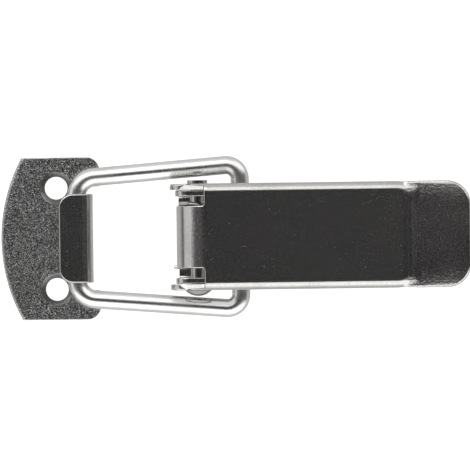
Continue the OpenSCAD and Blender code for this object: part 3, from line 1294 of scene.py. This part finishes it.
@dataclass
class BasePlate:
    """The mounting plate: a floor with two countersunk holes and two ears."""

    half: float = 6.4
    ear_half: float = 7.15
    bend_r: float = 1.2
    front: float = -8.64
    ear_front: float = -9.08
    ear_back: float = -2.3
    ear_top: float = 8.1
    tail: float = 20.8
    hole_x: float = 6.5
    pitch: float = 10.0
    sink: float = 0.65
    rim: float = 0.12
    under_rim: float = 0.16
    bend_steps: int = 8
    rivet_play: float = 0.06
    corner_r: float = 2.4
    relief: float = 0.7
    relief_drop: float = 0.15
    relief_r: float = 0.3
    ear_r: float = 1.9
    chin: tuple[float, float] = (3.7, 3.0)
    chin_r: float = 0.6
    screw_rim: float = 0.15

    def build(self) -> bpy.types.Object:
        """Builds the base plate.

        Returns:
            Its object.
        """
        t = SIZES.sheet
        blank = SheetBlank(t)
        fold_y = self.ear_half - self.bend_r
        arc = (self.bend_r - t / 2) * QUARTER
        rivet = SIZES.shank + self.rivet_play
        holes = [Hole(self.hole_x + i * self.pitch, 0, SIZES.screw) for i in (0, 1)]
        holes += [Hole(SIZES.pivot_x, s * self.unfolded(SIZES.pivot_z), rivet) for s in SIDES]
        blank.cut(self.outline(fold_y), holes)
        blank.roll(Face.UPPER, self.sink, 1, self.by_screw)
        blank.roll(Face.UPPER, self.rim, 2, lambda m: not self.by_screw(m))
        blank.roll(Face.LOWER, self.under_rim, 3)
        blank.slice(Along.Y, both_sides(spread(fold_y, fold_y + arc, self.bend_steps)))
        blank.settle()
        for s in SIDES:
            blank.fold(Along.Y, s, s * fold_y, self.bend_r, QUARTER, Way.UP, self.in_ears)
        return make_piece(blank.bm, "base_plate_sheet", [POLISHED])

    def unfolded(self, z: float) -> float:
        """Where a height on an ear lies in the flat.

        Args:
            z: The height.

        Returns:
            Its distance from the plate's middle.
        """
        arc = (self.bend_r - SIZES.sheet / 2) * QUARTER
        return self.ear_half - self.bend_r + arc + z - self.bend_r

    def outline(self, fold_y: float) -> list[Corner]:
        """The blank's outline with its ears unfolded.

        Args:
            fold_y: Where the ears' bends start.

        Returns:
            Its corners.
        """
        relief = self.ear_back + self.relief
        root = fold_y - self.relief_drop
        top = self.unfolded(self.ear_top)
        chin, throat = (self.unfolded(z) for z in self.chin)
        upper = [
            Corner(self.tail, self.half, self.corner_r),
            Corner(relief, self.half, self.relief_r),
            Corner(relief, root, self.relief_r),
            Corner(self.ear_back, root, self.relief_r),
            Corner(self.ear_back, top, self.ear_r),
            Corner(self.ear_front, top, self.ear_r),
            Corner(self.ear_front, chin, self.chin_r),
            Corner(self.front, throat, self.chin_r),
            Corner(self.front, fold_y),
        ]
        return mirrored(upper)

    def by_screw(self, m: Vector) -> bool:
        """Whether a place is at a screw hole's rim.

        Args:
            m: The place.

        Returns:
            True if it is.
        """
        away = min(abs(m.x - self.hole_x - i * self.pitch) for i in (0, 1))
        return max(abs(m.y), away) < SIZES.screw / 2 + self.screw_rim

    def in_ears(self, at: Vector) -> bool:
        """Whether a place is within the ears' length.

        Args:
            at: The place.

        Returns:
            True if it is.
        """
        return at.x < self.ear_back + 2 * SLACK


@dataclass
class Bail:
    """The wire loop, drawn flat from its pivot at x = 0 to its hook end, then tilted into place."""

    length: float = 25.195
    tilt: float = math.radians(2.785)
    half: float = 11.15
    flare: float = math.radians(4.44)
    end_r: float = 3.1
    pivot_r: float = 2.1
    leg_gap: float = 1.0
    leg_rim: float = 0.16
    sides: int = 40
    pivot_steps: int = 14
    end_steps: int = 16
    side_steps: int = 4
    sharp: float = 40

    def build(self) -> bpy.types.Object:
        """Builds the bail.

        Returns:
            Its object.
        """
        bm = bmesh.new()
        r = SIZES.wire / 2
        facing = Matrix.Translation((0, self.leg_gap / 2, 0)) @ Matrix.Rotation(QUARTER, 4, "X")
        bmesh.ops.create_circle(bm, cap_ends=True, segments=self.sides, radius=r, matrix=facing)
        far = self.length - self.end_r
        y1 = self.half - self.pivot_r * (1 + math.sin(self.flare)) / math.cos(self.flare)
        y2 = self.half - far * math.tan(self.flare) - self.end_r / math.cos(self.flare)
        near_centre, far_centre = Vector((-self.pivot_r, y1, 0)), Vector((-far, y2, 0))
        loop = self.run(bm, bm.edges[:], Vector((0, y1 - self.leg_gap / 2, 0)))
        loop = self.turn(bm, loop, near_centre, QUARTER + self.flare, self.pivot_steps)
        along = Vector((-math.cos(self.flare), -math.sin(self.flare), 0))
        step = along * (far_centre - near_centre).length / self.side_steps
        for _ in range(self.side_steps):
            loop = self.run(bm, loop, step)
        loop = self.turn(bm, loop, far_centre, QUARTER - self.flare, self.end_steps)
        for v in verts_of(bmesh.ops.extrude_edge_only(bm, edges=loop)["geom"]):
            v.co.y = 0.0
        bmesh.ops.mirror(
            bm, geom=bm.verts[:] + bm.edges[:] + bm.faces[:], axis="Y", merge_dist=TOUCHING
        )
        close_up(bm)
        ends = [e for e in bm.edges if any(len(f.verts) == self.sides for f in e.link_faces)]
        bevel(bm, ends, self.leg_rim, 3)
        place = Matrix.Translation((SIZES.bail_x, 0, SIZES.bail_z)) @ Matrix.Rotation(-self.tilt, 4, "Y")
        bmesh.ops.transform(bm, matrix=place, verts=bm.verts[:])
        return make_piece(bm, "bail_wire", [WIRE], self.sharp)

    def run(
        self, bm: bmesh.types.BMesh, loop: list[bmesh.types.BMEdge], by: Vector
    ) -> list[bmesh.types.BMEdge]:
        """Runs the wire on straight from an open ring.

        Args:
            bm: The wire's mesh.
            loop: The ring.
            by: How far it runs.

        Returns:
            The new open ring.
        """
        made = bmesh.ops.extrude_edge_only(bm, edges=loop)["geom"]
        bmesh.ops.translate(bm, verts=verts_of(made), vec=by)
        return rim_of(made)

    def turn(
        self, bm: bmesh.types.BMesh, loop: list[bmesh.types.BMEdge], centre: Vector, angle: float, steps: int
    ) -> list[bmesh.types.BMEdge]:
        """Bends the wire on from an open ring.

        Args:
            bm: The wire's mesh.
            loop: The ring.
            centre: The bend's centre.
            angle: How far it turns, in radians.
            steps: In how many steps.

        Returns:
            The new open ring.
        """
        ring = list({v for e in loop for v in e.verts})
        made = bmesh.ops.spin(bm, geom=ring + loop, cent=centre, axis=(0, 0, 1), angle=angle, steps=steps)
        return rim_of(made["geom_last"])


@dataclass
class Rivet:
    """The semi-tubular rivet: a domed head, a shank and a rolled tail."""

    head_r: float = 2.05
    head_h: float = 0.85
    tail_r: float = 1.55
    tail_h: float = 0.5
    bore_r: float = 0.65
    bore_depth: float = 1.7
    bore_cone: float = 0.25
    bore_mouth: tuple[tuple[float, float], ...] = ((0.22, 0.02), (0.06, 0.12), (0.0, 0.35))
    seat: float = 8.2
    skirt: float = 0.06
    edge: float = 0.05
    dome_share: float = 0.985
    dome_steps: int = 14
    steps: int = 64
    sharp: float = 40

    def build(self) -> bpy.types.Object:
        """Builds the rivet.

        Returns:
            Its object.
        """
        bm = bmesh.new()
        dome = (self.head_r**2 + self.head_h**2) / (2 * self.head_h)
        reach = math.asin(min(self.head_r / dome, 1.0))
        tip = bm.verts.new((0, -self.seat - self.head_h, 0))
        spun = bmesh.ops.spin(
            bm,
            geom=[tip],
            cent=(0, -self.seat - self.head_h + dome, 0),
            axis=(0, 0, 1),
            angle=reach * self.dome_share,
            steps=self.dome_steps,
        )
        last = verts_of(spun["geom_last"])[0]
        for x, y in self.profile():
            made = bm.verts.new((x, y, 0))
            bm.edges.new((last, made))
            last = made
        bmesh.ops.spin(
            bm,
            geom=bm.verts[:] + bm.edges[:],
            cent=(0, 0, 0),
            axis=(0, 1, 0),
            angle=math.tau,
            steps=self.steps,
            use_merge=True,
        )
        close_up(bm)
        bmesh.ops.translate(bm, verts=bm.verts[:], vec=(SIZES.pivot_x, 0, SIZES.pivot_z))
        return make_piece(bm, "rivet_turned", [RIVET], self.sharp)

    def profile(self) -> list[tuple[float, float]]:
        """The rivet's half section from under the dome round to the bottom of its bore.

        Returns:
            Its points, each a distance from the axis and a place along it.
        """
        top = self.seat + self.tail_h
        shank = SIZES.shank / 2
        outer = [
            (self.head_r, -self.seat - self.skirt),
            (self.head_r - self.edge, -self.seat),
            (shank, -self.seat),
            (shank, self.seat),
            (self.tail_r - self.edge, self.seat),
            (self.tail_r, self.seat + self.edge),
            (self.tail_r, top - self.edge),
            (self.tail_r - self.edge, top),
        ]
        bore = [(self.bore_r + wider, top - below) for wider, below in self.bore_mouth]
        bore.append((self.bore_r, top - self.bore_depth))
        bore.append((0.0, top - self.bore_depth - self.bore_cone))
        return outer + bore


@dataclass
class Spring:
    """The torsion spring round the rivet, with a foot on the base and a nose under the tongue."""

    wire_r: float = 0.3
    coil_r: float = 1.5
    start_y: float = 5.2
    end_y: float = -4.63
    turns: int = 7
    foot: tuple[float, float] = (-2.6, -3.55)
    nose_x: float = -3.72
    tip_rim: float = 0.06
    sides: int = 14
    steps_per_turn: int = 28
    sharp: float = 50

    def build(self) -> bpy.types.Object:
        """Builds the spring.

        Returns:
            Its object.
        """
        bm = bmesh.new()
        first = self.touch(*self.foot)
        sweep = math.tau * self.turns + (first + QUARTER) % math.tau
        centre = Vector((math.cos(first), 0, math.sin(first))) * self.coil_r
        centre.y = self.start_y
        facing = Matrix.Translation(centre) @ Matrix.Rotation(-first, 4, "Y")
        bmesh.ops.create_circle(bm, segments=self.sides, radius=self.wire_r, matrix=facing)
        rim = bm.edges[:]
        steps = self.turns * self.steps_per_turn
        spun = bmesh.ops.spin(
            bm,
            geom=bm.verts[:] + rim,
            cent=(0, self.start_y, 0),
            axis=(0, 1, 0),
            dvec=(0, (self.end_y - self.start_y) / steps, 0),
            angle=sweep,
            steps=steps,
        )
        last = rim_of(spun["geom_last"])
        nose = Vector((self.nose_x, self.end_y, -self.coil_r))
        self.leg(bm, rim, Vector((self.foot[0], self.start_y, self.foot[1])), centre)
        self.leg(bm, last, nose, Vector((0, self.end_y, -self.coil_r)))
        close_up(bm)
        bmesh.ops.translate(bm, verts=bm.verts[:], vec=(SIZES.pivot_x, 0, SIZES.pivot_z))
        return make_piece(bm, "spring_coil", [SPRING], self.sharp)

    def touch(self, x: float, z: float) -> float:
        """The bearing at which a leg that ends at a point touches the coil.

        Args:
            x: The point's x.
            z: The point's z.

        Returns:
            The bearing, in radians.
        """
        return math.atan2(z, x) - math.acos(self.coil_r / math.hypot(x, z))

    def leg(self, bm: bmesh.types.BMesh, rim: list[bmesh.types.BMEdge], end: Vector, root: Vector) -> None:
        """Runs the wire straight from a ring to a leg's end and closes it.

        Args:
            bm: The spring's mesh.
            rim: The open ring.
            end: Where the leg ends.
            root: The ring's centre.
        """
        made = bmesh.ops.extrude_edge_only(bm, edges=rim)["geom"]
        bmesh.ops.translate(bm, verts=verts_of(made), vec=end - root)
        face = bmesh.ops.contextual_create(bm, geom=rim_of(made))["faces"]
        bevel(bm, [e for f in face for e in f.edges], self.tip_rim, 2)


# ---- The room ----


class Band(NamedTuple):
    """How the sky's strength changes along one of its axes, from -1 to 1."""

    axis: str
    span: Span


class Sky:
    """The surround under construction: white, with a strength that depends on the direction."""

    def __init__(self) -> None:
        """Makes an empty sky."""
        world = bpy.data.worlds.new("surround")
        bpy.context.scene.world = world
        world.use_nodes = True
        self.nodes, self.links = world.node_tree.nodes, world.node_tree.links
        self.background = self.nodes["Background"]
        self.background.inputs["Color"].default_value = (1, 1, 1, 1)
        self.split = self.nodes.new("ShaderNodeSeparateXYZ")
        self.links.new(self.nodes.new("ShaderNodeTexCoord").outputs["Generated"], self.split.inputs[0])

    def band(self, band: Band) -> bpy.types.NodeSocket:
        """Adds a band.

        Args:
            band: Its axis and strengths.

        Returns:
            The strength's socket.
        """
        ramp = self.nodes.new("ShaderNodeMapRange")
        set_span(ramp, band.span)
        self.links.new(self.split.outputs[band.axis], ramp.inputs["Value"])
        return ramp.outputs["Result"]

    def joined(self, operation: str, sockets: Sequence[bpy.types.NodeSocket]) -> bpy.types.NodeSocket:
        """Combines strengths one after another.

        Args:
            operation: What combines two of them.
            sockets: The strengths.

        Returns:
            The result's socket.
        """
        result = sockets[0]
        for socket in sockets[1:]:
            made = self.nodes.new("ShaderNodeMath")
            made.operation = operation
            self.links.new(result, made.inputs[0])
            self.links.new(socket, made.inputs[1])
            result = made.outputs[0]
        return result

    def lit(self, regions: Sequence[tuple[str, tuple[Band, ...]]]) -> None:
        """Gives the sky the greatest of its regions' strengths.

        Args:
            regions: For each region, what combines its bands, and the bands.
        """
        parts = [self.joined(operation, [self.band(b) for b in bands]) for operation, bands in regions]
        self.links.new(self.joined("MAXIMUM", parts), self.background.inputs["Strength"])


# The sky's bright sides and its dark top, where the latch's flat faces look
BACK = (Band("Y", Span(0.26, 0.44, 0.0, 1.5)), Band("Y", Span(0.75, 0.99, 1.0, 0.55)))
NEAR = (Band("Y", Span(-0.28, -0.5, 0.0, 1.6)), Band("Y", Span(-0.9, -1.0, 1.0, 0.8)))
LEFT = (Band("X", Span(-0.74, -0.9, 0.0, 0.85)), Band("X", Span(-0.18, -0.5, 0.0, 0.12)))
RIGHT = (Band("X", Span(0.86, 0.97, 0.0, 0.4)), Band("X", Span(0.1, 0.3, 0.0, 0.06)))
TOP = (Band("X", Span(-0.008, 0.024, 0.026, 0.062)), Band("X", Span(0.04, 0.09, 1.0, 0.35)))


@dataclass
class Studio:
    """A white floor, a soft white surround with a dark ceiling, and a camera straight above."""

    distance: float = 0.9
    focus_height: float = 0.004
    shift_y: float = 0.00022
    sensor_mm: float = 36.0
    clip: tuple[float, float] = (0.01, 20.0)
    frame_mm: float = 72.15
    roll: float = math.radians(-0.75)
    floor_half: float = 1.2
    floor_z: float = -0.0002
    floor_white: float = 0.35
    floor_rough: float = 0.9
    floor_seen: float = 0.92
    floor_mirrored: float = 0.36
    key_place: tuple[float, float, float] = (-0.35, 0.65, 0.55)
    key_size: tuple[float, float] = (0.5, 0.3)
    key_energy: float = 1.0

    def build(self) -> None:
        """Builds the floor, the surround, the lights and the camera."""
        bpy.context.scene.view_settings.view_transform = "Standard"
        self.floor()
        self.surround()
        self.key()
        self.camera()

    def floor(self) -> None:
        """Lays the floor just under the mounting plane."""
        bm = bmesh.new()
        bmesh.ops.create_grid(bm, x_segments=1, y_segments=1, size=self.floor_half)
        mesh = bpy.data.meshes.new("floor")
        bm.to_mesh(mesh)
        bm.free()
        s = Shader("floor_white")
        s.surface.inputs["Base Color"].default_value = (*[self.floor_white] * 3, 1)
        s.surface.inputs["Roughness"].default_value = self.floor_rough
        s.surface.inputs["Emission Color"].default_value = (1, 1, 1, 1)
        path = s.node("LightPath").outputs["Is Camera Ray"]
        glow = s.remap(path, Span(0.0, 1.0, self.floor_mirrored, self.floor_seen))
        s.link(glow, s.surface.inputs["Emission Strength"])
        mesh.materials.append(s.material)
        made = bpy.data.objects.new("floor", mesh)
        made.location.z = self.floor_z
        bpy.context.scene.collection.objects.link(made)

    def surround(self) -> None:
        """Lights the room from all round, with a dark ceiling above the latch."""
        Sky().lit(
            [
                ("MULTIPLY", BACK),
                ("MULTIPLY", NEAR),
                ("MAXIMUM", LEFT),
                ("MAXIMUM", RIGHT),
                ("MULTIPLY", TOP),
            ]
        )

    def key(self) -> None:
        """Hangs a soft key lamp at the upper left."""
        data = bpy.data.lights.new("key", "AREA")
        data.shape = "RECTANGLE"
        data.size, data.size_y = self.key_size
        data.energy = self.key_energy
        made = bpy.data.objects.new("key", data)
        made.location = self.key_place
        made.rotation_euler = (-Vector(self.key_place)).to_track_quat("-Z", "Y").to_euler()
        bpy.context.scene.collection.objects.link(made)

    def camera(self) -> None:
        """Sets the camera straight above the latch."""
        data = bpy.data.cameras.new("camera")
        data.sensor_width = self.sensor_mm
        data.lens = data.sensor_width * self.distance / (self.frame_mm * MM)
        data.clip_start, data.clip_end = self.clip
        made = bpy.data.objects.new("camera", data)
        made.location = (0.0, self.shift_y, self.distance + self.focus_height)
        made.rotation_euler = (0, 0, self.roll)
        bpy.context.scene.collection.objects.link(made)
        bpy.context.scene.camera = made


def main() -> None:
    """Builds the latch and its room, and says which body each piece but the spring moves with."""
    logging.basicConfig(level=logging.INFO, format="%(name)s: %(message)s")
    Studio().build()
    made = {
        "catch_plate": (CatchPlate().build(), "catch"),
        "lever": (Lever().build(), "lever"),
        "base_plate": (BasePlate().build(), "base"),
        "bail": (Bail().build(), "bail"),
        "pivot_rivet": (Rivet().build(), "base"),
    }
    for node, (piece, body) in made.items():
        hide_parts(node)
        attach(piece, body)
    spring = Spring().build()
    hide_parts("torsion_spring")
    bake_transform(spring)


if __name__ == "__main__":
    main()
